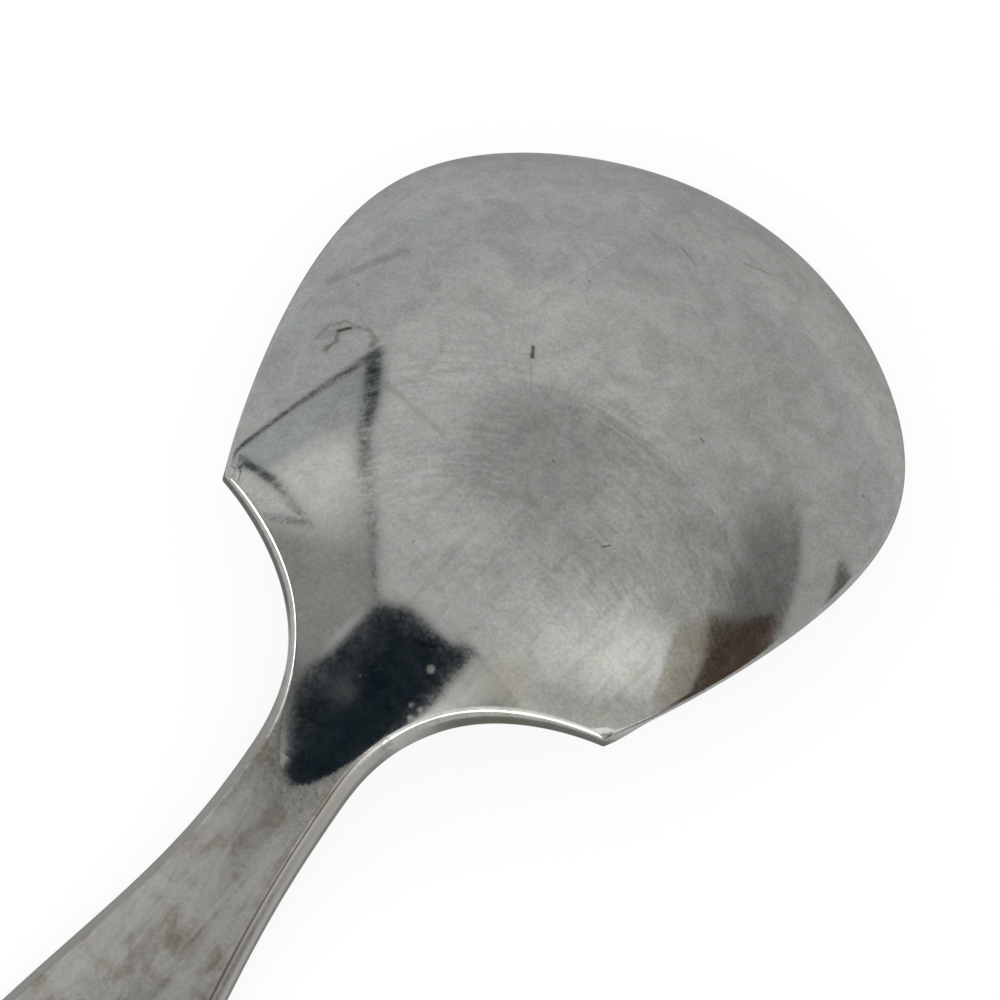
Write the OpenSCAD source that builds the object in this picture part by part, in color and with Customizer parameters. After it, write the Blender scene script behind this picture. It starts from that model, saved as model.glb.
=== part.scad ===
// Sugar spoon, lying face down: the back of the bowl is up, +Y runs from the handle to the bowl's tip.
// The spoon is drawn level with its rim first and is then tipped until rim and handle rest on Z = 0.

/* [Bowl] */
// Widest width of the bowl
bowl_w = 40; // [36:0.5:46]
// From the line between the shoulder points to the tip
bowl_l = 38.3; // [35:0.1:43]
// From the shoulder line to the widest place
widest_at = 20.8; // [19:0.1:23]
// Radius of the tip, seen from above
tip_r = 19.4; // [17:0.1:23]
// Width between the two shoulder points
shoulder_w = 28.6; // [26:0.1:32]
// Depth of the sheet's middle at the deepest place
bowl_depth = 7; // [5.5:0.1:9]
// From the shoulder line to the deepest place
deepest_at = 17.5; // [15:0.5:20]
// How full the dish is: 0 is a parabola, more gives steeper sides
fullness = 0.18; // [0:0.01:0.4]
// How far the side rims reach past a straight line from shoulder to tip
rim_arch = 0.15; // [0:0.05:1]
// Thickness of the bowl's sheet
bowl_t = 1.15; // [0.9:0.05:1.8]
// Width of the rounded band along the rim and the notches
rim_r = 0.3; // [0.2:0.05:0.6]
// How full that band is: 2 is a round, less is a bevel, more is squarer
rim_edge = 2; // [1.4:0.1:3]
// How high the rim's outer corner sits in the sheet: 0 is its middle, 1 is its back
rim_lip = 0.8; // [0:0.05:0.9]
// Length along the bowl over which that corner rises from the shoulder
lip_run = 3; // [2:0.5:6]
// Width of the cut face under the rim
rim_under = 0.65; // [0.3:0.05:1]
// How straight that face is: 1 is a straight cut, 2 is rounded
rim_cut = 1.3; // [1.1:0.1:2]

/* [Notches] */
// From the shoulder line back to the neck
notch_l = 10.5; // [9:0.1:13]
// How far back the cut leans where it leaves the shoulder, in degrees
notch_lean = 20; // [12:0.5:30]
// How far the cut runs in from the shoulder before it bends
notch_reach = 6.7; // [4:0.1:8]
// How far the cut runs along the neck before it bends
notch_run = 6.15; // [4:0.05:8]

/* [Neck] */
// Width of the neck
neck_w = 6.7; // [5:0.1:9]
// Thickness of the neck
neck_t = 2.3; // [1.8:0.1:3.5]
// How far the middle of the neck lies under the rim, seen face down
neck_drop = 5.85; // [5:0.05:6.6]
// Slope of the neck towards the handle, in degrees
neck_slope = 31.8; // [26:0.1:36]
// How fast the neck grows steeper towards the bowl, in slope per millimetre
neck_bend = 0.05; // [0.02:0.005:0.07]
// Crown across the back of the neck
neck_crown = 0.2; // [0.05:0.05:0.4]
// Half-width of the thick middle where the neck runs into the bowl
neck_spread = 6; // [4:0.5:9]
// How far past the shoulder line the extra thickness of the neck fades out
thick_fade = 8; // [4:0.5:12]

/* [Handle] */
// From the neck to the end
handle_l = 104; // [96:0.5:116]
// Widest width, near the end
handle_w = 17.2; // [14:0.2:24]
// From the neck to the place where half of the flare is reached
flare_at = 19.6; // [16:0.2:28]
// How late the flare sets in behind the neck
flare_power = 2.4; // [1.8:0.1:3.2]
// Length of the rounded end
end_round = 10; // [6:0.5:14]
// Thickness at the end
handle_t = 1.6; // [1.3:0.1:2.4]
// Length behind the neck over which the thick middle widens to the edges
even_l = 5.5; // [3:0.5:12]
// Crown across the back of the handle
handle_crown = 0.5; // [0.1:0.05:1]
// Length behind the neck over which the crown grows
crown_l = 40; // [20:1:60]
// From the neck to the crest of the handle
crest_at = 62; // [54:1:74]
// Height of the crest's middle above the rim, seen face up
crest_h = 18.5; // [17:0.1:20]
// Height of the end's middle above the rim, seen face up
end_h = 16; // [14:0.1:18]
// Slope of the end, in degrees
end_slope = 8; // [4:0.5:12]
// Width of the rounded band along the handle's edges
edge_r = 0.9; // [0.6:0.05:1.2]
// How that band leaves the face: 1 is a crisp line, 2 is a smooth round
edge_line = 1.2; // [1.1:0.1:2.5]
// How upright the side below the band is: 2 is a half circle, more is squarer
edge_side = 2.5; // [1.5:0.1:4]
// Length in front of the neck over which the band narrows to the rim's
edge_fade = 6; // [3:0.5:9]

/* [Fineness] */
// Steps around the rim from tip to shoulder
rim_steps = 32; // [20:1:44]
// Steps along each notch
notch_steps = 14; // [8:1:20]
// Steps along the handle
handle_steps = 30; // [20:1:40]
// Steps around the rounded end
end_steps = 8; // [5:1:12]
// Flat steps across half the width
flat_steps = 10; // [6:1:12]
// Steps around half an edge
edge_steps = 4; // [3:1:5]

/* [Hidden] */

half_bowl = bowl_w / 2;
half_shoulder = shoulder_w / 2;
half_neck = neck_w / 2;
neck_y = -notch_l;
// most of the half-width that the rounded edge may take
edge_share = 0.45;

// Rim seen from above: x = half_bowl * sin(a), y = egg_y(a), a from the shoulder to 180 at the tip
shoulder_a = asin(half_shoulder / half_bowl);
front_l = bowl_l - widest_at;
tip_gap = (front_l - half_bowl * half_bowl / tip_r) / 2;
egg_k = 1 + 2 * cos(shoulder_a) + cos(2 * shoulder_a);
egg_3 = -(widest_at - cos(shoulder_a) * front_l - tip_gap * egg_k)
    / (4 * egg_k + cos(3 * shoulder_a) - cos(shoulder_a));
egg_2 = 4 * egg_3 - tip_gap;
egg_1 = 2 * egg_2 - egg_3 - front_l;
egg_0 = widest_at + egg_2;
function egg_y(a) = egg_0 + egg_1 * cos(a) + egg_2 * cos(2 * a) + egg_3 * cos(3 * a);
// half-width times its rate of change along Y, which stays finite at the tip
function egg_rate(a) = half_bowl * half_bowl * cos(a)
    / (-egg_1 - 4 * egg_2 * cos(a) - 3 * egg_3 * (3 - 4 * sin(a) * sin(a)));
shoulder_rate = egg_rate(shoulder_a) / half_shoulder;
function dish_w(y) = half_shoulder + shoulder_rate * y;

// Smooth step and its rate
function clamp(t) = min(max(t, 0), 1);
function ease(t) = t * t * (3 - 2 * t);
function ease_rate(t) = 6 * t * (1 - t);

// Curve over 0 to 1 through given end heights, slopes and bends, and its rate
function bend(t, z0, m0, a0, z1, m1, a1) =
    (1 - 10 * pow(t, 3) + 15 * pow(t, 4) - 6 * pow(t, 5)) * z0
    + (t - 6 * pow(t, 3) + 8 * pow(t, 4) - 3 * pow(t, 5)) * m0
    + (0.5 * t * t - 1.5 * pow(t, 3) + 1.5 * pow(t, 4) - 0.5 * pow(t, 5)) * a0
    + (0.5 * pow(t, 3) - pow(t, 4) + 0.5 * pow(t, 5)) * a1
    + (-4 * pow(t, 3) + 7 * pow(t, 4) - 3 * pow(t, 5)) * m1
    + (10 * pow(t, 3) - 15 * pow(t, 4) + 6 * pow(t, 5)) * z1;
function bend_rate(t, z0, m0, a0, z1, m1, a1) =
    30 * t * t * (1 - t) * (1 - t) * (z1 - z0)
    + (1 - 18 * t * t + 32 * pow(t, 3) - 15 * pow(t, 4)) * m0
    + (t - 4.5 * t * t + 6 * pow(t, 3) - 2.5 * pow(t, 4)) * a0
    + (1.5 * t * t - 4 * pow(t, 3) + 2.5 * pow(t, 4)) * a1
    + (-12 * t * t + 28 * pow(t, 3) - 15 * pow(t, 4)) * m1;

// Dish across its half-width: 0 in the middle, 1 at the rim
function dome(q) = (1 - fullness) * q * q + fullness * pow(q, 4);
function dome_rate(q) = 2 * (1 - fullness) * q + 4 * fullness * pow(q, 3);

// Middle line of the spoon from the end of the handle to the tip, level with the rim
tip_reach = bowl_l - deepest_at;
heel_l = deepest_at - neck_y;
back_l = handle_l - crest_at;
crown_bend = -2 * (1 - fullness) * bowl_depth / (tip_reach * tip_reach);
crest_bend = 2 * (crest_h - end_h) / (back_l * back_l);
heel = [-neck_drop, tan(neck_slope) * heel_l, neck_bend * heel_l * heel_l,
    bowl_depth, 0, crown_bend * heel_l * heel_l];
rise = [-neck_drop, -tan(neck_slope) * crest_at, neck_bend * crest_at * crest_at,
    -crest_h, 0, crest_bend * crest_at * crest_at];
fall = [-crest_h, 0, crest_bend * back_l * back_l, -end_h, tan(end_slope) * back_l, 0];
function on(c, t) = bend(t, c[0], c[1], c[2], c[3], c[4], c[5]);
function on_rate(c, t) = bend_rate(t, c[0], c[1], c[2], c[3], c[4], c[5]);
function line_z(y) =
    y >= deepest_at ? bowl_depth * (1 - dome((y - deepest_at) / tip_reach)) :
    y >= neck_y ? on(heel, (y - neck_y) / heel_l) :
    neck_y - y <= crest_at ? on(rise, (neck_y - y) / crest_at) :
    on(fall, (neck_y - y - crest_at) / back_l);
function line_rate(y) =
    y >= deepest_at ? -bowl_depth * dome_rate((y - deepest_at) / tip_reach) / tip_reach :
    y >= neck_y ? on_rate(heel, (y - neck_y) / heel_l) / heel_l :
    neck_y - y <= crest_at ? -on_rate(rise, (neck_y - y) / crest_at) / crest_at :
    -on_rate(fall, (neck_y - y - crest_at) / back_l) / back_l;

// Rim height, and depth of the dish at each place along the spoon
function rim_z(y) = -rim_arch * sin(180 * y / bowl_l);
function rim_rate(y) = -rim_arch * PI / bowl_l * cos(180 * y / bowl_l);
neck_dish_w = max(dish_w(neck_y), half_neck);
neck_dish = neck_crown / dome(half_neck / neck_dish_w);
handle_dish = handle_crown / dome(half_neck / neck_dish_w);
shoulder_dish = line_z(0) - rim_z(0);
shoulder_dish_rate = line_rate(0) - rim_rate(0);
function notch_t(y) = clamp((y - neck_y) / notch_l);
function notch_dish(t) = (1 - ease(t)) * neck_dish + ease(t) * shoulder_dish
    + t * t * (t - 1) * notch_l * shoulder_dish_rate;
function notch_dish_rate(t) = ease_rate(t) * (shoulder_dish - neck_dish) / notch_l
    + (3 * t * t - 2 * t) * shoulder_dish_rate;
function dish(y) = y >= 0 ? line_z(y) - rim_z(y) :
    y >= neck_y ? notch_dish(notch_t(y)) :
    neck_dish + (handle_dish - neck_dish) * ease(clamp((neck_y - y) / crown_l));
function dish_rate(y) = y >= 0 ? line_rate(y) - rim_rate(y) :
    y >= neck_y ? notch_dish_rate(notch_t(y)) : 0;

// Half-width of the handle at u behind the neck, and its rate
flare_base = pow(flare_at, flare_power);
function flare(u) = pow(u, flare_power) / (pow(u, flare_power) + flare_base);
function flare_rate(u) = flare_power * pow(u, flare_power - 1) * flare_base
    / pow(pow(u, flare_power) + flare_base, 2);
flare_size = (handle_w / 2 - half_neck) / flare(handle_l);
function half_handle(u) = half_neck + flare_size * flare(u);
function half_handle_rate(u) = -flare_size * flare_rate(u);

// Stations: place along Y, half-width, half-width times its rate, the same two for the whole dish
function rim_station(a) = let (b = half_bowl * sin(a), g = egg_rate(a)) [egg_y(a), b, g, b, g];
notch_x = [half_shoulder, half_shoulder - notch_reach * cos(notch_lean), half_neck, half_neck];
notch_y = [0, -notch_reach * sin(notch_lean), neck_y + notch_run, neck_y];
function arc(p, t) = pow(1 - t, 3) * p[0] + 3 * pow(1 - t, 2) * t * p[1]
    + 3 * (1 - t) * t * t * p[2] + pow(t, 3) * p[3];
function arc_rate(p, t) = 3 * (pow(1 - t, 2) * (p[1] - p[0])
    + 2 * (1 - t) * t * (p[2] - p[1]) + t * t * (p[3] - p[2]));
function notch_station(t) = let (
        y = arc(notch_y, t),
        b = arc(notch_x, t),
        w = max(dish_w(y), b))
    [y, b, b * arc_rate(notch_x, t) / arc_rate(notch_y, t), w, w * shoulder_rate];
function handle_station(u, end_a) = let (
        h = half_handle(u),
        b = h * cos(end_a),
        g = end_a > 0 ? h * h * sin(end_a) / end_round : h * half_handle_rate(u))
    [neck_y - u, b, g, neck_dish_w * h / half_neck, 0];

// Thickness of the metal square to its surface
function middle_t(y) = y >= neck_y
    ? neck_t + (bowl_t - neck_t) * ease(clamp((y - neck_y) / (notch_l + thick_fade)))
    : neck_t + (handle_t - neck_t) * clamp((neck_y - y) / handle_l);
function spread(y) = neck_spread * (1 + pow(max(neck_y - y, 0) / even_l, 2));
function thick(x, y) = bowl_t + (middle_t(y) - bowl_t) / (1 + pow(x / spread(y), 4));

// Rounded edge: 0 at the outline, 1 where the full thickness is reached, over and under the middle
function to_rim(y) = ease(clamp((y - neck_y) / edge_fade));
function edge_radius(y) = edge_r + (rim_r - edge_r) * to_rim(y);
function line_power(y) = edge_line + (rim_edge - edge_line) * to_rim(y);
function side_power(y) = edge_side + (rim_edge - edge_side) * to_rim(y);
rim_lean = atan(shoulder_rate);
function outline_gap(x, s) = (s[1] * s[1] - x * x) / (2 * sqrt(s[2] * s[2] + x * x) + 0.000001);
function corner_gap(x, y) = y >= 0
    ? (half_shoulder - x) * sin(notch_lean) + y * cos(notch_lean)
    : y > neck_y ? (half_shoulder - x) * cos(rim_lean) + y * sin(rim_lean) : bowl_w;
function edge_gap(x, s) = min(outline_gap(x, s), corner_gap(x, s[0]));
function rounded(share, line, side) = pow(1 - pow(1 - clamp(share), line), 1 / side);
function over(gap, y) = rounded(gap / edge_radius(y), line_power(y), side_power(y));

// Along the bowl's rim the corner moves up to the back of the sheet and the cut face slants in under it
function lip_t(y) = ease(clamp(y / lip_run));
function to_cut(value, cut, y) = value + (cut - value) * lip_t(y);
function under_radius(y) = to_cut(edge_radius(y), rim_under, y);
function under(gap, y) = rounded(gap / under_radius(y),
    to_cut(line_power(y), rim_cut, y), to_cut(side_power(y), rim_cut, y));

// Back and front of the sheet at x for one station
function sheet(x, s) = let (
        w = s[3],
        q = w > 0 ? x / w : 0,
        depth = dish(s[0]),
        z = line_z(s[0]) - depth * dome(q),
        lean_x = w > 0 ? depth / w * dome_rate(q) : 0,
        turn = w > 0 ? depth / (w * w) * dome_rate(q) * q * s[4] : 0,
        lean_y = line_rate(s[0]) - dish_rate(s[0]) * dome(q) + turn,
        up = thick(x, s[0]) * sqrt(1 + lean_x * lean_x + lean_y * lean_y) / 2,
        gap = edge_gap(x, s),
        lip = rim_lip * lip_t(s[0]))
    [z + up * (lip + (1 - lip) * over(gap, s[0])), z + up * (lip - (1 + lip) * under(gap, s[0]))];

// One loop of points around the spoon: across the back from left to right, then home along the front
across = flat_steps + edge_steps;
loop_n = 4 * across;
function edge_band(r, s) = min(r * sqrt(1 + pow(s[2] / s[1], 2)), s[1] * edge_share);
function place(j, s, r) = let (e = edge_band(r, s))
    j <= flat_steps ? (s[1] - e) * j / flat_steps :
    s[1] - e * (1 - sin(90 * (j - flat_steps) / edge_steps));
function back_point(j, s) = let (x = place(abs(j), s, edge_radius(s[0])))
    [sign(j) * x, s[0], sheet(x, s)[0]];
function front_point(j, s) = let (x = place(abs(j), s, under_radius(s[0])))
    [sign(j) * x, s[0], sheet(x, s)[1]];
function loop(s) = concat(
    [for (j = [-across:across]) back_point(j, s)],
    [for (j = [across - 1:-1:1 - across]) front_point(j, s)]);

bowl_rows = concat(
    [for (i = [notch_steps:-1:1]) notch_station(i / notch_steps)],
    [for (i = [0:rim_steps - 1]) rim_station(shoulder_a + (180 - shoulder_a) * i / rim_steps)]);
handle_rows = concat(
    [for (i = [0:handle_steps]) handle_station((handle_l - end_round) * i / handle_steps, 0)],
    [for (i = [1:end_steps - 1]) let (a = 90 * i / end_steps)
        handle_station(handle_l - end_round + end_round * sin(a), a)]);
tip_z = line_z(bowl_l) + rim_lip * bowl_t / 2 * sqrt(1 + pow(line_rate(bowl_l), 2));
bowl_points = concat([for (s = bowl_rows) each loop(s)], [[0, bowl_l, tip_z]]);
handle_points = concat([for (s = handle_rows) each loop(s)], [[0, neck_y - handle_l, -end_h]]);

// Faces between the loops, the flat face at the neck and the fan at the far end
function skin(rows, flip) = let (n = loop_n, far = rows * n) concat(
    [for (i = [0:rows - 2], k = [0:n - 1]) let (a = i * n + k, b = i * n + (k + 1) % n)
        each [turned([a, b, b + n], flip), turned([a, b + n, a + n], flip)]],
    [for (j = [0:2 * across - 1]) each
        j == 0 ? [turned([1, 0, n - 1], flip)] :
        j == 2 * across - 1 ? [turned([j + 1, j, j + 2], flip)] :
        [turned([j + 1, j, n - j - 1], flip), turned([j, n - j, n - j - 1], flip)]],
    [for (k = [0:n - 1]) turned([far - n + k, far - n + (k + 1) % n, far], flip)]);
function turned(f, flip) = flip ? [f[2], f[1], f[0]] : f;

// Tip the spoon until the rim and the handle stand on the same level
all_points = concat(bowl_points, handle_points);
function low(points, a) = min([for (p = points) p[2] * cos(a) - p[1] * sin(a)]);
function settle(a0, a1, n) = let (a = (a0 + a1) / 2)
    n == 0 ? a :
    low(bowl_points, a) > low(handle_points, a) ? settle(a, a1, n - 1) : settle(a0, a, n - 1);
rest_tilt = settle(0, 20, 22);
rest_low = low(all_points, rest_tilt);
rest_y = [for (p = all_points) p[1] * cos(rest_tilt) + p[2] * sin(rest_tilt)];
rest_mid = (min(rest_y) + max(rest_y)) / 2;
module at_rest() {
    translate([0, -rest_mid, -rest_low]) rotate([-rest_tilt, 0, 0]) children();
}

// Dished bowl with its two notched shoulders, back to the neck
module bowl() {
    color([0.78, 0.79, 0.78])
        at_rest() polyhedron(bowl_points, skin(len(bowl_rows), false), convexity = 6);
}

// Flared handle from the neck to its rounded end
module handle() {
    color([0.7, 0.69, 0.66])
        at_rest() polyhedron(handle_points, skin(len(handle_rows), true), convexity = 6);
}

bowl();
handle();
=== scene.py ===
"""Sugar spoon lying face down on a pale floor: dense pieces over the CAD solids, in worn stainless steel."""
import math

import bpy
import numpy as np
from mathutils import Matrix, Vector


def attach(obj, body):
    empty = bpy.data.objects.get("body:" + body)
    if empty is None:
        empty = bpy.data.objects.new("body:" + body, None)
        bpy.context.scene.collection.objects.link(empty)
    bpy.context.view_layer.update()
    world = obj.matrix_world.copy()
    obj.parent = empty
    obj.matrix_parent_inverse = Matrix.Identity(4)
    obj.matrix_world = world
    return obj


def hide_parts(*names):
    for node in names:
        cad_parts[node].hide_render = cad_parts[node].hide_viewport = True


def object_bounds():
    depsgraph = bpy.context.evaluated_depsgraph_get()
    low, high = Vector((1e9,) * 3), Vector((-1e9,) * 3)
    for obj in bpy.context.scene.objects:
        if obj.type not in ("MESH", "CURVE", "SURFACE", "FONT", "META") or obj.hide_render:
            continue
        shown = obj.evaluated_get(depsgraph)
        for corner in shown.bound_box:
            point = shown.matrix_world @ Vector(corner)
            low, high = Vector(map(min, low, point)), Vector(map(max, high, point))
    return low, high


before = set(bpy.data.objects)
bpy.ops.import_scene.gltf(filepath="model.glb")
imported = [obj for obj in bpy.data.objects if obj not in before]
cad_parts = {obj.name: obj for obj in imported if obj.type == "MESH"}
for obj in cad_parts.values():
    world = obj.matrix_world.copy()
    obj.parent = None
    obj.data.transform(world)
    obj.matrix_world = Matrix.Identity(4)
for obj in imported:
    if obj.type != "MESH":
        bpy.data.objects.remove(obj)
cad_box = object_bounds()
MM = 0.001

# Camera, in millimetres of the part's frame
CAMERA_AT = Vector((45.471, -29.415, 217.211)) * MM
CAMERA_TARGET = Vector((-0.420, 48.632, 5.781)) * MM
CAMERA_ROLL = math.radians(6.004)
CAMERA_LENS = 134.85

# Sizes in millimetres, under the names that the part's source uses
BOWL_W, BOWL_L, WIDEST_AT, TIP_R, SHOULDER_W = 40.0, 38.3, 20.8, 19.4, 28.6
BOWL_DEPTH, DEEPEST_AT, FULLNESS, RIM_ARCH, BOWL_T = 7.0, 17.5, 0.18, 0.15, 1.15
NOTCH_L, NOTCH_LEAN, NOTCH_REACH, NOTCH_RUN = 10.5, math.radians(20), 6.7, 6.15
NECK_W, NECK_T, NECK_DROP, NECK_SLOPE, NECK_BEND = 6.7, 2.3, 5.85, math.tan(math.radians(31.8)), 0.05
NECK_CROWN, NECK_SPREAD, THICK_FADE, EVEN_L = 0.2, 6.0, 8.0, 5.5
HANDLE_L, HANDLE_W, FLARE_AT, FLARE_POWER, END_ROUND = 104.0, 17.2, 19.6, 2.4, 10.0
HANDLE_T, HANDLE_CROWN, CROWN_L = 1.6, 0.5, 40.0
CREST_AT, CREST_H, END_H, END_SLOPE = 62.0, 18.5, 16.0, math.tan(math.radians(8))
EDGE_R, EDGE_LINE, EDGE_SIDE, EDGE_FADE = 0.9, 1.2, 2.5, 6.0
RIM_R, RIM_EDGE, RIM_LIP, LIP_RUN, RIM_UNDER, RIM_CUT = 0.3, 2.0, 0.8, 3.0, 0.65, 1.3

# Fineness of the dense pieces
RIM_ROWS, NOTCH_ROWS, HANDLE_ROWS, END_ROWS = 96, 72, 120, 24
FLAT_COLUMNS, EDGE_COLUMNS = 34, 12
LOOP_SIZE = 4 * (FLAT_COLUMNS + EDGE_COLUMNS)

HALF_BOWL, HALF_SHOULDER, HALF_NECK = BOWL_W / 2, SHOULDER_W / 2, NECK_W / 2
NECK_Y = -NOTCH_L


def add_camera():
    """Camera at the photograph's place, turned about its own axis by the roll."""
    back = (CAMERA_AT - CAMERA_TARGET).normalized()
    level = Vector((0, 0, 1)).cross(back).normalized()
    upright = back.cross(level)
    right = level * math.cos(CAMERA_ROLL) + upright * math.sin(CAMERA_ROLL)
    up = back.cross(right)
    data = bpy.data.cameras.new("photo_camera")
    data.lens = CAMERA_LENS
    data.sensor_width = 36.0
    data.clip_start = 0.01
    camera = bpy.data.objects.new("photo_camera", data)
    bpy.context.scene.collection.objects.link(camera)
    turn = Matrix((right, up, back)).transposed().to_4x4()
    camera.matrix_world = Matrix.Translation(CAMERA_AT) @ turn
    bpy.context.scene.camera = camera


def ease(t):
    """Smooth step from 0 to 1."""
    t = np.clip(t, 0, 1)
    return t * t * (3 - 2 * t)


def bend(t, start, end):
    """Curve over 0 to 1 through (height, slope, bend) at each end, and its rate."""
    z0, m0, a0 = start
    z1, m1, a1 = end
    height = ((1 - 10 * t**3 + 15 * t**4 - 6 * t**5) * z0
              + (t - 6 * t**3 + 8 * t**4 - 3 * t**5) * m0
              + (0.5 * t**2 - 1.5 * t**3 + 1.5 * t**4 - 0.5 * t**5) * a0
              + (0.5 * t**3 - t**4 + 0.5 * t**5) * a1
              + (-4 * t**3 + 7 * t**4 - 3 * t**5) * m1
              + (10 * t**3 - 15 * t**4 + 6 * t**5) * z1)
    rate = (30 * t**2 * (1 - t)**2 * (z1 - z0)
            + (1 - 18 * t**2 + 32 * t**3 - 15 * t**4) * m0
            + (t - 4.5 * t**2 + 6 * t**3 - 2.5 * t**4) * a0
            + (1.5 * t**2 - 4 * t**3 + 2.5 * t**4) * a1
            + (-12 * t**2 + 28 * t**3 - 15 * t**4) * m1)
    return height, rate


def dome(q):
    """Dish across its half-width, 0 in the middle and 1 at the rim, and its rate."""
    return (1 - FULLNESS) * q**2 + FULLNESS * q**4, 2 * (1 - FULLNESS) * q + 4 * FULLNESS * q**3


def egg_values():
    """Terms of the rim seen from above: y = e0 + e1 cos a + e2 cos 2a + e3 cos 3a."""
    a = math.asin(HALF_SHOULDER / HALF_BOWL)
    front = BOWL_L - WIDEST_AT
    gap = (front - HALF_BOWL**2 / TIP_R) / 2
    k = 1 + 2 * math.cos(a) + math.cos(2 * a)
    e3 = -(WIDEST_AT - math.cos(a) * front - gap * k) / (4 * k + math.cos(3 * a) - math.cos(a))
    e2 = 4 * e3 - gap
    e1 = 2 * e2 - e3 - front
    return WIDEST_AT + e2, e1, e2, e3


EGG = egg_values()
SHOULDER_A = math.asin(HALF_SHOULDER / HALF_BOWL)


def egg_y(a):
    return EGG[0] + EGG[1] * np.cos(a) + EGG[2] * np.cos(2 * a) + EGG[3] * np.cos(3 * a)


def egg_rate(a):
    """Half-width times its rate along Y."""
    return HALF_BOWL**2 * np.cos(a) / (
        -EGG[1] - 4 * EGG[2] * np.cos(a) - 3 * EGG[3] * (3 - 4 * np.sin(a)**2))


SHOULDER_RATE = egg_rate(SHOULDER_A) / HALF_SHOULDER


def dish_w(y):
    return HALF_SHOULDER + SHOULDER_RATE * y


def line(y):
    """Height and slope of the spoon's middle line at y."""
    tip_l, heel_l, back_l = BOWL_L - DEEPEST_AT, DEEPEST_AT - NECK_Y, HANDLE_L - CREST_AT
    crown_bend = -2 * (1 - FULLNESS) * BOWL_DEPTH / tip_l**2
    crest_bend = 2 * (CREST_H - END_H) / back_l**2
    u = NECK_Y - y
    d, dr = dome(np.clip((y - DEEPEST_AT) / tip_l, 0, 1))
    heel = bend(np.clip(-u / heel_l, 0, 1),
                (-NECK_DROP, NECK_SLOPE * heel_l, NECK_BEND * heel_l**2),
                (BOWL_DEPTH, 0, crown_bend * heel_l**2))
    rise = bend(np.clip(u / CREST_AT, 0, 1),
                (-NECK_DROP, -NECK_SLOPE * CREST_AT, NECK_BEND * CREST_AT**2),
                (-CREST_H, 0, crest_bend * CREST_AT**2))
    fall = bend(np.clip((u - CREST_AT) / back_l, 0, 1),
                (-CREST_H, 0, crest_bend * back_l**2),
                (-END_H, END_SLOPE * back_l, 0))
    where = [y >= DEEPEST_AT, y >= NECK_Y, u <= CREST_AT]
    z = np.select(where, [BOWL_DEPTH * (1 - d), heel[0], rise[0]], fall[0])
    slope = np.select(where, [-BOWL_DEPTH * dr / tip_l, heel[1] / heel_l, -rise[1] / CREST_AT],
                      -fall[1] / back_l)
    return z, slope


def rim(y):
    """Height and slope of the rim at y."""
    turn = math.pi / BOWL_L
    return -RIM_ARCH * np.sin(turn * y), -RIM_ARCH * turn * np.cos(turn * y)


NECK_DISH_W = dish_w(NECK_Y)


def dish(y):
    """Depth of the dish at y, and its rate."""
    z, slope = line(y)
    edge_z, edge_slope = rim(y)
    zero = np.zeros(1)
    shoulder = (line(zero)[0] - rim(zero)[0])[0]
    shoulder_rate = (line(zero)[1] - rim(zero)[1])[0]
    at_neck = dome(HALF_NECK / NECK_DISH_W)[0]
    neck, handle = NECK_CROWN / at_neck, HANDLE_CROWN / at_neck
    t = np.clip((y - NECK_Y) / NOTCH_L, 0, 1)
    notch = neck + (shoulder - neck) * ease(t) + t**2 * (t - 1) * NOTCH_L * shoulder_rate
    notch_rate = 6 * t * (1 - t) * (shoulder - neck) / NOTCH_L + (3 * t**2 - 2 * t) * shoulder_rate
    behind = neck + (handle - neck) * ease((NECK_Y - y) / CROWN_L)
    where = [y >= 0, y >= NECK_Y]
    return (np.select(where, [z - edge_z, notch], behind),
            np.select(where, [slope - edge_slope, notch_rate], 0 * y))


def half_handle(u):
    """Half-width of the handle at u behind the neck, and its rate along Y."""
    base = FLARE_AT**FLARE_POWER
    p = np.maximum(u, 1e-9)**FLARE_POWER
    full = HANDLE_L**FLARE_POWER
    size = (HANDLE_W / 2 - HALF_NECK) * (full + base) / full
    rate = -size * FLARE_POWER * np.maximum(u, 1e-9)**(FLARE_POWER - 1) * base / (p + base)**2
    return HALF_NECK + size * p / (p + base), rate


def rim_stations():
    """Rows from the shoulder to the tip: y, half-width, half-width times rate, the same for the dish."""
    a = SHOULDER_A + (math.pi - SHOULDER_A) * np.arange(RIM_ROWS) / RIM_ROWS
    b, g = HALF_BOWL * np.sin(a), egg_rate(a)
    return np.column_stack([egg_y(a), b, g, b, g])


def notch_stations():
    """Rows from the neck to just before the shoulder."""
    t = (np.arange(NOTCH_ROWS, 0, -1) / NOTCH_ROWS)**1.4
    x = (HALF_SHOULDER, HALF_SHOULDER - NOTCH_REACH * math.cos(NOTCH_LEAN), HALF_NECK, HALF_NECK)
    y = (0, -NOTCH_REACH * math.sin(NOTCH_LEAN), NECK_Y + NOTCH_RUN, NECK_Y)

    def arc(p):
        return (1 - t)**3 * p[0] + 3 * (1 - t)**2 * t * p[1] + 3 * (1 - t) * t**2 * p[2] + t**3 * p[3]

    def arc_rate(p):
        return 3 * ((1 - t)**2 * (p[1] - p[0]) + 2 * (1 - t) * t * (p[2] - p[1]) + t**2 * (p[3] - p[2]))

    w = dish_w(arc(y))
    return np.column_stack([arc(y), arc(x), arc(x) * arc_rate(x) / arc_rate(y), w, w * SHOULDER_RATE])


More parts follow.
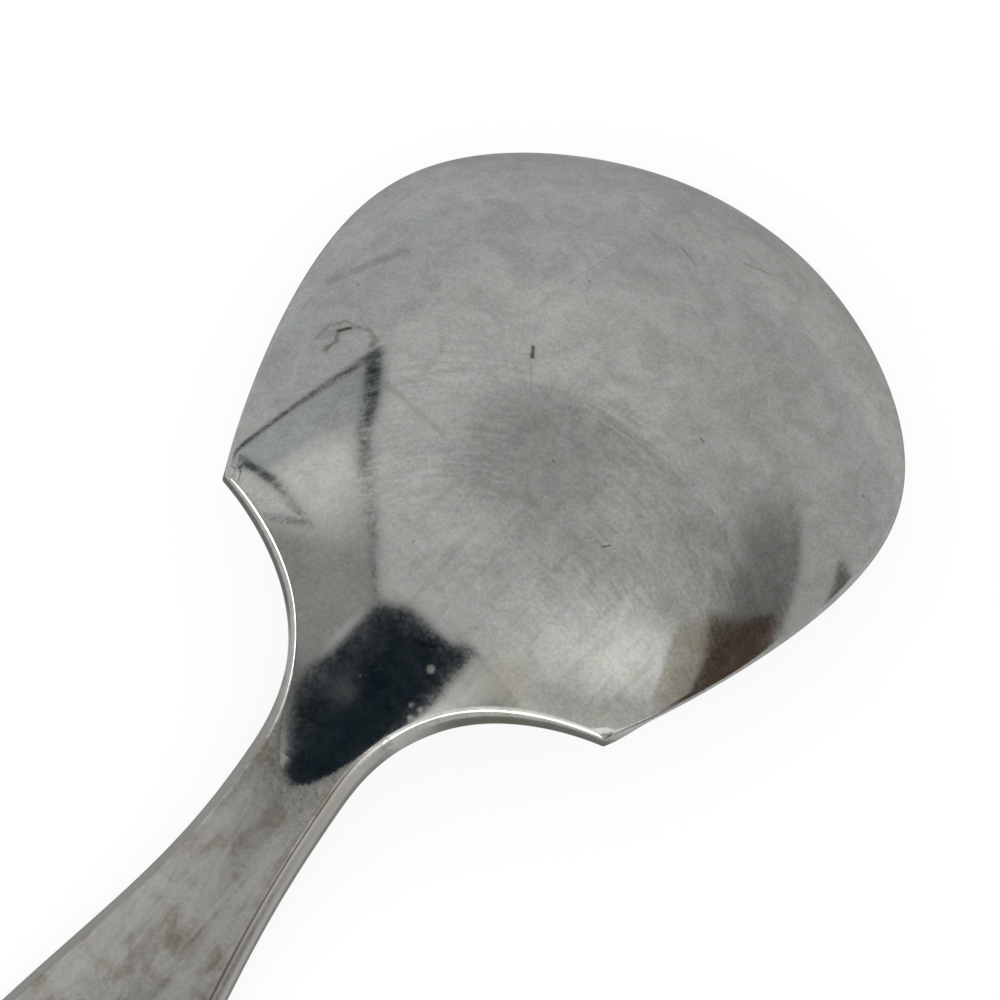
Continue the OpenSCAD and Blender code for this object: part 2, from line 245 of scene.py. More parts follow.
def handle_stations():
    """Rows from the neck to just before the end."""
    straight = (HANDLE_L - END_ROUND) * np.linspace(0, 1, HANDLE_ROWS + 1)
    a = math.pi / 2 * np.arange(1, END_ROWS) / END_ROWS
    u = np.concatenate([straight, HANDLE_L - END_ROUND + END_ROUND * np.sin(a)])
    a = np.concatenate([0 * straight, a])
    h, rate = half_handle(u)
    g = np.where(a > 0, h**2 * np.sin(a) / END_ROUND, h * rate)
    return np.column_stack([NECK_Y - u, h * np.cos(a), g, NECK_DISH_W * h / HALF_NECK, 0 * u])


def thickness(x, y):
    """Thickness of the metal square to its surface."""
    front = NECK_T + (BOWL_T - NECK_T) * ease((y - NECK_Y) / (NOTCH_L + THICK_FADE))
    behind = NECK_T + (HANDLE_T - NECK_T) * np.clip((NECK_Y - y) / HANDLE_L, 0, 1)
    middle = np.where(y >= NECK_Y, front, behind)
    spread = NECK_SPREAD * (1 + (np.maximum(NECK_Y - y, 0) / EVEN_L)**2)
    return BOWL_T + (middle - BOWL_T) / (1 + (x / spread)**4)


def to_rim(y):
    """0 behind the neck, 1 where the edge has become the rim's."""
    return ease((y - NECK_Y) / EDGE_FADE)


def edge_radius(y):
    return EDGE_R + (RIM_R - EDGE_R) * to_rim(y)


def to_cut(value, cut, y):
    """Value that turns into the rim's along the bowl."""
    return value + (cut - value) * ease(y / LIP_RUN)


def under_radius(y):
    return to_cut(edge_radius(y), RIM_UNDER, y)


def edge_gap(x, y, b, g):
    """Distance from the outline."""
    gap = (b**2 - x**2) / (2 * np.sqrt(g**2 + x**2) + 1e-6)
    lean = math.atan(SHOULDER_RATE)
    corner = np.select(
        [y >= 0, y > NECK_Y],
        [(HALF_SHOULDER - x) * math.sin(NOTCH_LEAN) + y * math.cos(NOTCH_LEAN),
         (HALF_SHOULDER - x) * math.cos(lean) + y * math.sin(lean)], BOWL_W)
    return np.minimum(gap, corner)


def rounded(share, line_power, side_power):
    """Edge profile: 0 at the outline, 1 where the full thickness is reached."""
    return (1 - (1 - np.clip(share, 0, 1))**line_power)**(1 / side_power)


def sheet(x, rows):
    """Heights of the metal's back and front at half-widths x, and the distance from the outline."""
    y, b, g, w, gw = (rows[:, i:i + 1] for i in range(5))
    q = x / w
    d, dr = dome(q)
    depth, depth_rate = dish(y)
    z, slope = line(y)
    lean_x = depth / w * dr
    lean_y = slope - depth_rate * d + depth / w**2 * dr * q * gw
    up = thickness(x, y) * np.sqrt(1 + lean_x**2 + lean_y**2) / 2
    gap = edge_gap(x, y, b, g)
    line_power = EDGE_LINE + (RIM_EDGE - EDGE_LINE) * to_rim(y)
    side_power = EDGE_SIDE + (RIM_EDGE - EDGE_SIDE) * to_rim(y)
    over = rounded(gap / edge_radius(y), line_power, side_power)
    under = rounded(gap / under_radius(y), to_cut(line_power, RIM_CUT, y), to_cut(side_power, RIM_CUT, y))
    lip = to_cut(0.0, RIM_LIP, y)
    middle = z - depth * d
    return middle + up * (lip + (1 - lip) * over), middle + up * (lip - (1 + lip) * under), gap


def columns(rows, radius):
    """Half-widths of the points of each row, close together in the rounded edge."""
    b, g = rows[:, 1:2], rows[:, 2:3]
    band = np.minimum(radius * np.sqrt(1 + (g / b)**2), 0.45 * b)
    flat = (b - band) * np.arange(FLAT_COLUMNS + 1) / FLAT_COLUMNS
    turn = math.pi / 2 * np.arange(1, EDGE_COLUMNS + 1) / EDGE_COLUMNS
    return np.hstack([flat, b - band * (1 - np.sin(turn))])


def loops(rows):
    """One loop per row, each point with its share of the edge: across the back, then home along the front."""
    y = rows[:, :1]
    sides = []
    for side, radius in enumerate((edge_radius(y), under_radius(y))):
        x = columns(rows, radius)
        heights = sheet(x, rows)
        share = np.clip(heights[2] / radius, 0, 1)
        sides.append(np.stack([x, np.broadcast_to(y, x.shape), heights[side], share], -1))
    back, front = sides
    mirror = np.array([-1, 1, 1, 1])
    return np.concatenate([back[:, :0:-1] * mirror, back, front[:, -2::-1], front[:, 1:-1] * mirror], 1)


def shell_faces(row_count, flip):
    """Quads between the loops, the flat face at the neck and the fan at the far point."""
    size = LOOP_SIZE
    k = np.arange(size)
    faces = []
    for i in range(row_count - 1):
        a, b = i * size + k, i * size + (k + 1) % size
        faces += np.column_stack([a, b, b + size, a + size]).tolist()
    half = size // 2
    cap = [[1, 0, size - 1]] + [[j + 1, j, size - j, size - j - 1] for j in range(1, half - 1)]
    cap += [[half, half - 1, half + 1]]
    last = (row_count - 1) * size
    fan = [[last + j, last + (j + 1) % size, row_count * size] for j in range(size)]
    faces += cap + fan
    return [f[::-1] for f in faces] if flip else faces


def rest_place(points):
    """Turn that tips the spoon until rim and handle stand on the same level."""
    bowl = points[:, 1] > NECK_Y

    def height(part, a):
        return (part[:, 2] * math.cos(a) - part[:, 1] * math.sin(a)).min()

    low, high = 0.0, math.radians(20)
    for _ in range(30):
        a = (low + high) / 2
        if height(points[bowl], a) > height(points[~bowl], a):
            low = a
        else:
            high = a
    return np.array([[1, 0, 0], [0, math.cos(a), math.sin(a)], [0, -math.sin(a), math.cos(a)]])


def spoon_points():
    """Points in metres, edge shares and row counts of both pieces, at rest and inside the CAD model's box."""
    bowl_rows = np.vstack([notch_stations(), rim_stations()])
    handle_rows = handle_stations()
    tip_z, tip_slope = (value[0] for value in line(np.array([BOWL_L])))
    tip = [[0, BOWL_L, tip_z + RIM_LIP * BOWL_T / 2 * math.hypot(1, tip_slope), 0]]
    end = [[0, NECK_Y - HANDLE_L, -END_H, 0]]
    bowl = np.vstack([loops(bowl_rows).reshape(-1, 4), tip])
    handle = np.vstack([loops(handle_rows).reshape(-1, 4), end])
    both = np.vstack([bowl[:, :3], handle[:, :3]])
    both = both @ rest_place(both).T
    low, high = both.min(0), both.max(0)
    cad_low, cad_high = (np.array(c) for c in cad_box)
    both = cad_low + (both - low) * (cad_high - cad_low) / (high - low)
    return ((both[:len(bowl)], bowl[:, 3], len(bowl_rows)),
            (both[len(bowl):], handle[:, 3], len(handle_rows)))


def add_piece(name, points, shares, row_count, flip, material):
    """Smooth mesh with a crisp edge only around the flat face at the neck."""
    mesh = bpy.data.meshes.new(name)
    mesh.from_pydata(points.tolist(), [], shell_faces(row_count, flip))
    mesh.update()
    mesh.shade_smooth()
    for edge in mesh.edges:
        a, b = edge.vertices
        edge.use_edge_sharp = a < LOOP_SIZE and b < LOOP_SIZE
    mesh.attributes.new("from_edge", "FLOAT", "POINT").data.foreach_set("value", shares)
    mesh.materials.append(material)
    piece = bpy.data.objects.new(name, mesh)
    bpy.context.scene.collection.objects.link(piece)
    return piece


class Graph:
    """Short calls for building one node tree."""

    def __init__(self, tree):
        self.tree = tree
        tree.nodes.clear()

    def node(self, kind, **settings):
        made = self.tree.nodes.new(kind)
        for key, value in settings.items():
            setattr(made, key, value)
        return made

    def feed(self, socket, value):
        if isinstance(value, bpy.types.NodeSocket):
            self.tree.links.new(value, socket)
        else:
            socket.default_value = value

    def math(self, operation, a, b=0.0, c=0.0):
        made = self.node("ShaderNodeMath", operation=operation)
        for socket, value in zip(made.inputs, (a, b, c)):
            self.feed(socket, value)
        return made.outputs[0]

    def vector(self, operation, a, b=(0, 0, 0)):
        made = self.node("ShaderNodeVectorMath", operation=operation)
        self.feed(made.inputs[0], a)
        self.feed(made.inputs[1], b)
        return made.outputs["Value" if operation in ("LENGTH", "DOT_PRODUCT", "DISTANCE") else "Vector"]

    def scaled(self, at, x, y, z, turn=0.0):
        """Coordinates turned about Z by degrees, then stretched."""
        made = self.node("ShaderNodeMapping", vector_type="POINT")
        self.feed(made.inputs["Vector"], at)
        if turn:
            first = made
            first.inputs["Rotation"].default_value = (0, 0, math.radians(turn))
            made = self.node("ShaderNodeMapping", vector_type="POINT")
            self.feed(made.inputs["Vector"], first.outputs[0])
        made.inputs["Scale"].default_value = (x, y, z)
        return made.outputs[0]

    def noise(self, at, scale, detail=2.0, rough=0.5, warp=0.0, dimensions="3D"):
        made = self.node("ShaderNodeTexNoise", noise_dimensions=dimensions)
        self.feed(made.inputs["Vector"], at)
        for key, value in (("Scale", scale), ("Detail", detail), ("Roughness", rough), ("Distortion", warp)):
            made.inputs[key].default_value = value
        return made.outputs[0]

    def ramp(self, value, low, high, to_low=0.0, to_high=1.0):
        made = self.node("ShaderNodeMapRange", interpolation_type="SMOOTHSTEP", clamp=True)
        for socket, item in zip(made.inputs, (value, low, high, to_low, to_high)):
            self.feed(socket, item)
        return made.outputs[0]

    def mix(self, share, a, b):
        made = self.node("ShaderNodeMix", data_type="FLOAT")
        for socket, item in zip(made.inputs[:1] + made.inputs[2:4], (share, a, b)):
            self.feed(socket, item)
        return made.outputs[0]

    def blend(self, share, a, b, how="MIX"):
        made = self.node("ShaderNodeMix", data_type="RGBA", blend_type=how)
        self.feed(made.inputs[0], share)
        for socket, item in zip((made.inputs[6], made.inputs[7]), (a, b)):
            self.feed(socket, item if isinstance(item, bpy.types.NodeSocket) else (*item, 1.0))
        return made.outputs[2]


def new_material(name):
    material = bpy.data.materials.new(name)
    material.use_nodes = True
    return material, Graph(material.node_tree)


BOWL_STEEL = (0.318, 0.322, 0.312)
HANDLE_STEEL = (0.292, 0.285, 0.268)
TARNISH = (0.300, 0.304, 0.268)
BROWN_FILM = (0.235, 0.212, 0.178)
# dark colour of the dirt, which also paints the shade lines along the edges
DIRT_AND_SHADE = (0.060, 0.052, 0.036)
DUST = (0.300, 0.280, 0.235)
HEEL_FILM = (0.322, 0.308, 0.262)
HEEL_FILM_AT = (7.5, 38.0, 0)
EDGE_TINT = (0.58, 0.58, 0.58, 1.0)
DUST_ROUGH = 0.7
MICROMETRE = 0.000001

# Where the polish ends on the middle of the neck, how its border bends back towards the sides, how blurred
# it is, and the point about which the bowl was wiped, in millimetres
POLISH_END, POLISH_BEND, POLISH_BLUR = 26.6, 0.45, 0.35
WIPED_ABOUT = (5.1, 33.4, 0)


def spoon_places(g):
    """Place on the spoon in millimetres: the vector, the vector laid flat, and x and y."""
    at = g.vector("SCALE", g.node("ShaderNodeTexCoord").outputs["Object"])
    at.node.inputs["Scale"].default_value = 1000.0
    parts = g.node("ShaderNodeSeparateXYZ")
    g.feed(parts.inputs[0], at)
    return at, g.scaled(at, 1, 1, 0), parts.outputs[0], parts.outputs[1]


def back_side(g):
    """1 on the back of the spoon, 0 on its hollow side."""
    parts = g.node("ShaderNodeSeparateXYZ")
    g.feed(parts.inputs[0], g.node("ShaderNodeTexCoord").outputs["Normal"])
    return g.ramp(parts.outputs[2], -0.1, 0.1)


def wiping_marks(g, at, flat):
    """Fine arcs about the neck, the zone they fill and the band that they leave dull."""
    arm = g.vector("SUBTRACT", flat, WIPED_ABOUT)
    reach = g.vector("LENGTH", arm)
    parts = g.node("ShaderNodeSeparateXYZ")
    g.feed(parts.inputs[0], arm)
    swing = g.math("ARCTAN2", parts.outputs[0], parts.outputs[1])
    polar = g.node("ShaderNodeCombineXYZ")
    g.feed(polar.inputs[0], g.math("MULTIPLY", reach, 3.2))
    g.feed(polar.inputs[1], g.math("MULTIPLY", swing, 8.0))
    arcs = g.noise(polar.outputs[0], 1.0, 4.0, 0.62, 0.3)
    patches = g.ramp(g.noise(at, 0.16, 2.0), 0.40, 0.62)
    zone = g.math("MULTIPLY", g.ramp(reach, 8.0, 14.0), g.ramp(reach, 25.5, 21.5))
    zone = g.math("MULTIPLY", zone, g.math("MULTIPLY_ADD", patches, 0.7, 0.3))
    edge = g.math("MULTIPLY_ADD", g.noise(polar.outputs[0], 0.5, 2.0), 1.6, reach)
    band = g.math("MULTIPLY", g.ramp(edge, 22.6, 22.1), g.ramp(edge, 16.5, 21.5))
    band = g.math("MULTIPLY", band, g.math("MULTIPLY", g.ramp(swing, -0.5, -0.2), g.ramp(swing, 0.75, 0.35)))
    return arcs, zone, band


def stroke(g, flat, start, end, width, ragged=0.0):
    """Mark along a line from start to end, in millimetres."""
    start, end = Vector((*start, 0)), Vector((*end, 0))
    length = (end - start).length
    way = (end - start).normalized()
    arm = g.vector("SUBTRACT", flat, tuple(start))
    along = g.vector("DOT_PRODUCT", arm, tuple(way))
    across = g.math("ABSOLUTE", g.vector("DOT_PRODUCT", arm, (-way.y, way.x, 0)))
    if ragged:
        wander = g.math("SUBTRACT", g.noise(flat, 1.5, 4.0, 0.65), 0.5)
        across = g.math("MULTIPLY_ADD", wander, ragged, across)
    sides = g.ramp(across, width, 0.2 * width)
    ends = g.math("MULTIPLY", g.ramp(along, -1.5 * width, 0.0), g.ramp(along, length + 1.5 * width, length))
    return g.math("MULTIPLY", sides, ends)


def trail(g, flat, path, width, ragged):
    """Mark along several lines end to end."""
    total = 0.0
    for start, end in zip(path, path[1:]):
        total = g.math("MAXIMUM", stroke(g, flat, start, end, width, ragged), total)
    return total


STAIN_RING = [(-15.3, 49.7), (-15.1, 50.8), (-14.4, 51.5), (-13.5, 51.4), (-12.6, 51.5), (-11.8, 51.1),
              (-11.8, 50.7)]
STAIN_TAIL = [(-14.3, 50.6), (-14.05, 49.9), (-14.2, 49.2)]

# Grains of dust: x, y, radius and strength
GRAINS = [(3.4, 36.15, 0.36, 0.17), (3.62, 33.95, 0.24, 0.10), (4.2, 34.0, 0.22, 0.11),
          (3.97, 33.35, 0.22, 0.09)]
DUST_FILM_AT = (-0.5, 32.4, 0)


def soil_marks(g, flat):
    """Single marks on the bowl: a water stain, a soiled pit with a scratch, a smear and small scratches."""
    marks = [
        (trail(g, flat, STAIN_RING, 0.26, 0.9), 0.34),
        (trail(g, flat, STAIN_TAIL, 0.28, 0.7), 0.55),
        (stroke(g, flat, (-14.36, 50.66), (-13.82, 51.13), 0.20, 0.3), 0.95),
        (stroke(g, flat, (-15.0, 50.0), (-14.0, 50.9), 0.55, 0.8), 0.26),
        (stroke(g, flat, (-3.45, 55.75), (-3.05, 55.15), 0.16, 0.5), 0.85),
        (stroke(g, flat, (-3.02, 54.9), (-1.25, 52.6), 0.07), 0.22),
        (stroke(g, flat, (-17.3, 53.9), (-14.8, 57.7), 0.55, 1.2), 0.22),
        (stroke(g, flat, (-1.1, 68.9), (0.4, 68.3), 0.13, 0.3), 0.30),
        (stroke(g, flat, (2.4, 71.2), (4.0, 71.85), 0.14, 0.5), 0.30),
        (stroke(g, flat, (-5.2, 57.4), (-3.6, 66.5), 0.09, 0.3), 0.14),
        (stroke(g, flat, (-9.3, 48.8), (-4.5, 47.8), 0.35, 0.8), 0.16),
        (stroke(g, flat, (7.45, 47.8), (7.75, 48.15), 0.10), 0.70),
        (stroke(g, flat, (8.0, 57.4), (8.25, 57.35), 0.10, 0.2), 0.65),
    ]
    total = 0.0
    for mask, strength in marks:
        total = g.math("MAXIMUM", g.math("MULTIPLY", mask, strength), total)
    return total


def dust_marks(g, at, flat):
    """Grains of dust and a dried film near the neck."""
    total = g.math("MULTIPLY", g.ramp(g.noise(at, 2.3, 3.0, 0.6), 0.74, 0.80), 0.25)
    for x, y, radius, strength in GRAINS:
        far = g.vector("DISTANCE", flat, (x, y, 0))
        total = g.math("MAXIMUM", total, g.ramp(far, radius, 0.4 * radius, 0.0, strength))
    wander = g.math("SUBTRACT", g.noise(flat, 0.9, 4.0, 0.6), 0.5)
    film = g.math("MULTIPLY_ADD", wander, 2.4, g.vector("DISTANCE", flat, DUST_FILM_AT))
    return g.math("MAXIMUM", total, g.ramp(film, 1.5, 0.2, 0.0, 0.05))


def heel_scratches(g, flat, x, y):
    """Net of fine scratches in two directions over the part of the bowl next to the neck."""
    net = 0.0
    for turn in (8, -80):
        lines = g.noise(g.scaled(flat, 1.6, 0.15, 0, turn), 1.0, 3.0, 0.6)
        net = g.math("MAXIMUM", g.ramp(lines, 0.50, 0.72), net)
    zone = g.math("MULTIPLY", g.ramp(y, 51.0, 44.0), g.ramp(x, -7.0, 1.0))
    return g.math("MULTIPLY", net, zone)


class Wear:
    """Places and patterns on the spoon that colour, roughness and relief share."""

    def __init__(self, g):
        self.at, self.flat, self.x, self.y = spoon_places(g)
        self.edge = g.node("ShaderNodeAttribute", attribute_name="from_edge").outputs["Fac"]
        self.back = back_side(g)
        self.haze = g.noise(self.at, 0.10, 2.0)
        self.mottle = g.noise(self.at, 0.5, 4.0, 0.62, 0.8)
        self.grain = g.noise(self.at, 4.5, 3.0, 0.65)
        self.film = g.noise(self.at, 1.1, 4.0, 0.6, 0.4)
        self.along = g.noise(g.scaled(self.at, 0.55, 0.13, 0.4), 1.0, 4.0, 0.62, 0.7)
        self.blots = g.noise(self.at, 0.32, 4.0, 0.62, 0.9)
        self.arcs, self.arc_zone, self.wiped_band = wiping_marks(g, self.at, self.flat)
        self.behind, self.right = g.ramp(self.y, 31.5, 28.5), g.ramp(self.x, 0.0, 1.5)
        # edge band of the handle: less brown film there, and its tone painted lighter on the right side as a
        # reflection
        self.band = g.math("MULTIPLY", g.ramp(self.edge, 0.95, 0.80), self.behind)
        self.dull = dull_share(g, self)


def dull_share(g, wear):
    """How far the finish has turned from the bowl's to the handle's, with a frosted border."""
    squared = g.math("MINIMUM", g.math("MULTIPLY", wear.x, wear.x), HALF_NECK**2)
    sides = g.math("MULTIPLY", squared, -POLISH_BEND)
    drift = g.math("ADD", g.math("MULTIPLY", wear.grain, 1.4), g.math("MULTIPLY", wear.mottle, 1.2))
    border = g.math("ADD", g.math("ADD", wear.y, sides), g.math("SUBTRACT", drift, 1.3))
    return g.ramp(border, POLISH_END + POLISH_BLUR, POLISH_END - POLISH_BLUR)


def bowl_tone(g, wear):
    """Light and dark on the bowl: haze, mottling, wiping arcs, the scratched heel, and a painted reflection
    that makes the bowl paler towards the neck.
    """
    tone = g.ramp(wear.haze, 0.3, 0.7, 0.96, 1.04)
    tone = g.math("ADD", tone, g.ramp(wear.mottle, 0.3, 0.7, -0.10, 0.10))
    tone = g.math("ADD", tone, g.ramp(wear.grain, 0.25, 0.75, -0.12, 0.12))
    tone = g.math("ADD", tone, g.math("MULTIPLY", g.ramp(wear.arcs, 0.34, 0.68, -0.10, 0.09), wear.arc_zone))
    tone = g.math("MULTIPLY_ADD", wear.wiped_band, -0.13, tone)
    tone = g.math("MULTIPLY_ADD", heel_scratches(g, wear.flat, wear.x, wear.y), -0.16, tone)
    # painted reflection: the bowl grows paler towards the neck, where the window's glow is mirrored
    return g.math("ADD", tone, g.ramp(wear.y, 47.0, 42.0, 0.0, 0.15))


def handle_tone(g, wear):
    """Light and dark on the handle: lengthwise stains, weaker far from the neck, painted shade darkening the
    face towards its right, and an even edge band painted lighter on the right as a reflection.
    """
    tone = g.ramp(wear.along, 0.38, 0.68, 1.12, 0.81)
    tone = g.math("ADD", tone, g.ramp(wear.blots, 0.42, 0.70, 0.05, -0.14))
    tone = g.math("ADD", tone, g.ramp(wear.grain, 0.25, 0.75, -0.09, 0.09))
    tone = g.mix(g.ramp(wear.y, -20.0, 12.0, 0.45, 0.0), tone, 0.96)
    # painted shade: the face lighter on its left and darker towards its right
    tone = g.math("ADD", tone, g.ramp(wear.x, -4.0, 3.5, 0.14, -0.10))
    # painted reflection: the edge band evened out and lighter on the right side, where the bevel mirrors the
    # bright room
    return g.mix(wear.band, tone, g.math("MULTIPLY_ADD", wear.right, 0.22, 0.93))


def clean_colour(g, wear):
    """Colour of the steel with its films, before dirt and dust."""
    tarnish = g.math("MULTIPLY", g.ramp(wear.film, 0.40, 0.66), g.ramp(wear.x, -6.0, 12.0, 0.15, 0.85))
    colour = g.blend(tarnish, BOWL_STEEL, TARNISH)
    heel_film = g.math("MULTIPLY_ADD", wear.film, 3.0, g.vector("DISTANCE", wear.flat, HEEL_FILM_AT))
    colour = g.blend(g.ramp(heel_film, 4.6, 1.6, 0.0, 0.7), colour, HEEL_FILM)
    brown = g.math("MULTIPLY", g.ramp(wear.blots, 0.44, 0.66), g.ramp(wear.along, 0.36, 0.60))
    brown = g.math("MULTIPLY", brown, g.math("MULTIPLY_ADD", wear.band, -0.8, 1.0))
    colour = g.blend(wear.dull, colour, g.blend(brown, HANDLE_STEEL, BROWN_FILM))
    tone = g.mix(wear.dull, bowl_tone(g, wear), handle_tone(g, wear))
    grey = g.node("ShaderNodeCombineColor")
    for socket in grey.inputs:
        g.feed(socket, tone)
    return g.blend(1.0, colour, grey.outputs[0], "MULTIPLY")


def dirt_and_shade_share(g, wear):
    """Dirt from pits and single marks, and painted shade: a dark line beside the handle's edge, a dark strip
    along the outline and the dull, darkened cut of the notches.
    """
    edge, y = wear.edge, wear.y
    pits = g.math("MULTIPLY", g.ramp(g.noise(wear.at, 1.7, 3.0, 0.6), 0.71, 0.77), 0.55)
    dirt_and_shade = g.math("MAXIMUM", pits, g.math("MULTIPLY", soil_marks(g, wear.flat), wear.back))
    # painted shade: a dark line along the crease between the handle's face and its edge, stronger on the
    # right
    painted_crease_shade = g.math("MULTIPLY", g.ramp(edge, 0.76, 0.90), g.ramp(edge, 1.0, 0.97))
    painted_crease_shade = g.math("MULTIPLY", painted_crease_shade, wear.behind)
    painted_crease_shade = g.math("MULTIPLY", painted_crease_shade, g.math("MULTIPLY_ADD", wear.right, 0.75, 0.10))
    # painted shade: a dark strip along the very outline of the handle and neck
    side = g.math("MULTIPLY", g.ramp(edge, 0.16, 0.03), g.ramp(y, 33.0, 28.0, 0.0, 0.45))
    # painted shade: the outer part of the notch edges darkened
    notch = g.math("MULTIPLY", g.ramp(y, 32.5, 35.0), g.ramp(y, 39.8, 38.8))
    notch = g.math("MULTIPLY", notch, g.ramp(edge, 0.26, 0.10, 0.0, 0.75))
    for mark in (painted_crease_shade, side, notch):
        dirt_and_shade = g.math("MAXIMUM", dirt_and_shade, mark)
    return dirt_and_shade


def roughness(g, wear, dirt_and_shade):
    """Bright on the bowl, rougher in the wiping arcs, the dirt and the painted shade lines, satin on the
    handle.
    """
    rough = g.ramp(wear.mottle, 0.3, 0.75, 0.065, 0.10)
    rough = g.math("ADD", rough, g.ramp(wear.grain, 0.3, 0.7, -0.01, 0.02))
    rough = g.math("ADD", rough, g.math("MULTIPLY", wear.arc_zone, g.ramp(wear.arcs, 0.35, 0.7, 0.0, 0.05)))
    rough = g.math("MULTIPLY_ADD", dirt_and_shade, 0.3, rough)
    satin = g.ramp(wear.blots, 0.3, 0.7, 0.26, 0.36)
    satin = g.math("ADD", satin, g.ramp(wear.grain, 0.3, 0.7, -0.04, 0.04))
    return g.mix(wear.dull, rough, satin)


def relief(g, wear, dirt_and_shade):
    """Normal with slight waves, grain, arcs and sunken dirt and painted shade lines, in micrometres."""
    waves = g.math("MULTIPLY", g.noise(wear.at, 0.22, 1.0), 3.0)
    height = g.math("ADD", waves, g.math("MULTIPLY", wear.grain, 0.05))
    height = g.math("ADD", height, g.math("MULTIPLY", wear.arcs, g.math("MULTIPLY", wear.arc_zone, 0.10)))
    height = g.math("MULTIPLY_ADD", dirt_and_shade, -0.6, height)
    bump = g.node("ShaderNodeBump")
    bump.inputs["Strength"].default_value = 1.0
    bump.inputs["Distance"].default_value = MICROMETRE
    g.feed(bump.inputs["Height"], height)
    return bump.outputs[0]


def steel(name):
    """Worn stainless steel: polished on the bowl, duller and browner along the handle, with painted shade
    lines at the edges and painted reflections on the heel and the handle's right edge.
    """
    material, g = new_material(name)
    wear = Wear(g)
    dirt_and_shade = dirt_and_shade_share(g, wear)
    # dust lies on the metal and hides its shine
    dust = g.math("MULTIPLY", dust_marks(g, wear.at, wear.flat), wear.back)
    # the dark dirt colour here also paints the shade lines along the edges
    colour = g.blend(dust, g.blend(dirt_and_shade, clean_colour(g, wear), DIRT_AND_SHADE), DUST)
    shader = g.node("ShaderNodeBsdfPrincipled")
    g.feed(shader.inputs["Metallic"], g.math("SUBTRACT", 1.0, dust))
    g.feed(shader.inputs["Base Color"], colour)
    shader.inputs["Specular Tint"].default_value = EDGE_TINT
    g.feed(shader.inputs["Roughness"], g.mix(dust, roughness(g, wear, dirt_and_shade), DUST_ROUGH))
    g.feed(shader.inputs["Normal"], relief(g, wear, dirt_and_shade))
    out = g.node("ShaderNodeOutputMaterial")
    g.feed(out.inputs["Surface"], shader.outputs[0])
    return material


# Things that stand around the spoon and show only as reflections. Directions are degrees round from -Y
# towards +X, and degrees up from level, seen from a point in the bowl.
AROUND = Vector((0, 50, 8)) * MM
CARD_FAR, PANEL_FAR, CLOTH_FINENESS = 0.6, 0.64, 45.0
SLEEVE = [(-66, 24), (-53, 34), (-43.5, 41.5), (-33.6, 51), (-30.6, 53.5), (-28.5, 55.8), (-28.1, 57.8),
          (-29.1, 60.2), (-31.2, 62.7), (-29.8, 64.4), (-26.5, 65.7), (-20, 66.6), (-10, 67.9), (6, 71.6),
          (3, 70), (0.6, 67), (0.4, 62), (2.5, 57.5), (2.5, 44)]
LEFT_PANEL = [(-92, 46), (-95.5, 48.8), (-87.5, 54.2), (-77.5, 58.6), (-66, 61.3), (-49, 63.8),
              (-31, 62.8), (-31, 54), (-45, 38), (-88, 40)]
STAND_BACK = [(-92, 38), (-97, 44), (-108, 42), (-112, 36), (-106, 29), (-98, 28), (-92, 32)]
BOX_FRONT = [(111.8, 38.9), (112.6, 29.6), (114.9, 22.7), (111.5, 19.5), (107, 11), (100, 1), (97, 10),
             (103, 33), (107.3, 33), (108.8, 35.7)]
BOX_SIDE = [(104, 45), (108.8, 44.5), (111.8, 38.9), (108.8, 35.7), (107.3, 33), (103, 33)]
DARK_CORNER = [(127.5, 15.5), (123, 15), (119, 13.8), (116.5, 12), (117, 8.5), (120, 8), (124, 11.5)]

# Dark frame of a stand on the left, as paths of directions
FRAME_TOP = [(-100.5, 26.2), (-103, 27.4), (-107, 29), (-113, 30)]
FRAME_SIDE = [(-112.6, 29), (-103.6, 42), (-95.5, 48.8)]
FRAME_EDGE = [(-95.5, 48.8), (-87.5, 54.2), (-77.5, 58.6), (-66, 61.3), (-49, 63.8), (-31, 62.8)]


def aim(turn, lift):
    turn, lift = math.radians(turn), math.radians(lift)
    return Vector((math.cos(lift) * math.sin(turn), -math.cos(lift) * math.cos(turn), math.sin(lift)))


def glow_material(name, colour, fleck=None):
    """Plain glowing colour, or one that is flecked with a second colour like cloth."""
    material, g = new_material(name)
    light = g.node("ShaderNodeEmission")
    light.inputs["Color"].default_value = (*colour, 1.0)
    if fleck:
        cloth = g.noise(g.node("ShaderNodeTexCoord").outputs["Object"], CLOTH_FINENESS, 5.0, 0.65)
        g.feed(light.inputs["Color"], g.blend(g.ramp(cloth, 0.42, 0.70), colour, fleck))
    out = g.node("ShaderNodeOutputMaterial")
    g.feed(out.inputs["Surface"], light.outputs[0])
    return material


def panel_material(name, light_colour, dark_colour):
    """Glowing panel that darkens towards the sleeve."""
    material, g = new_material(name)
    arm = g.vector("SUBTRACT", g.node("ShaderNodeTexCoord").outputs["Object"], tuple(AROUND))
    near = g.vector("DOT_PRODUCT", g.vector("NORMALIZE", arm), tuple(aim(-40, 52)))
    light = g.node("ShaderNodeEmission")
    share = g.ramp(near, math.cos(math.radians(23)), math.cos(math.radians(8)))
    g.feed(light.inputs["Color"], g.blend(share, light_colour, dark_colour))
    out = g.node("ShaderNodeOutputMaterial")
    g.feed(out.inputs["Surface"], light.outputs[0])
    return material


def stage_object(name, points, faces, material):
    mesh = bpy.data.meshes.new(name)
    mesh.from_pydata([tuple(p) for p in points], [], faces)
    mesh.materials.append(material)
    made = bpy.data.objects.new(name, mesh)
    bpy.context.scene.collection.objects.link(made)
    return made


def only_in_reflections(made):
    made.visible_camera = False
    made.visible_diffuse = False
    made.visible_shadow = False
    made.visible_transmission = False
    made.visible_volume_scatter = False


def add_card(name, corners, material, far=CARD_FAR):
    """Flat card with its corners in the given directions."""
    points = [AROUND + far * aim(*c) for c in corners]
    only_in_reflections(stage_object(name, points, [list(range(len(points)))], material))


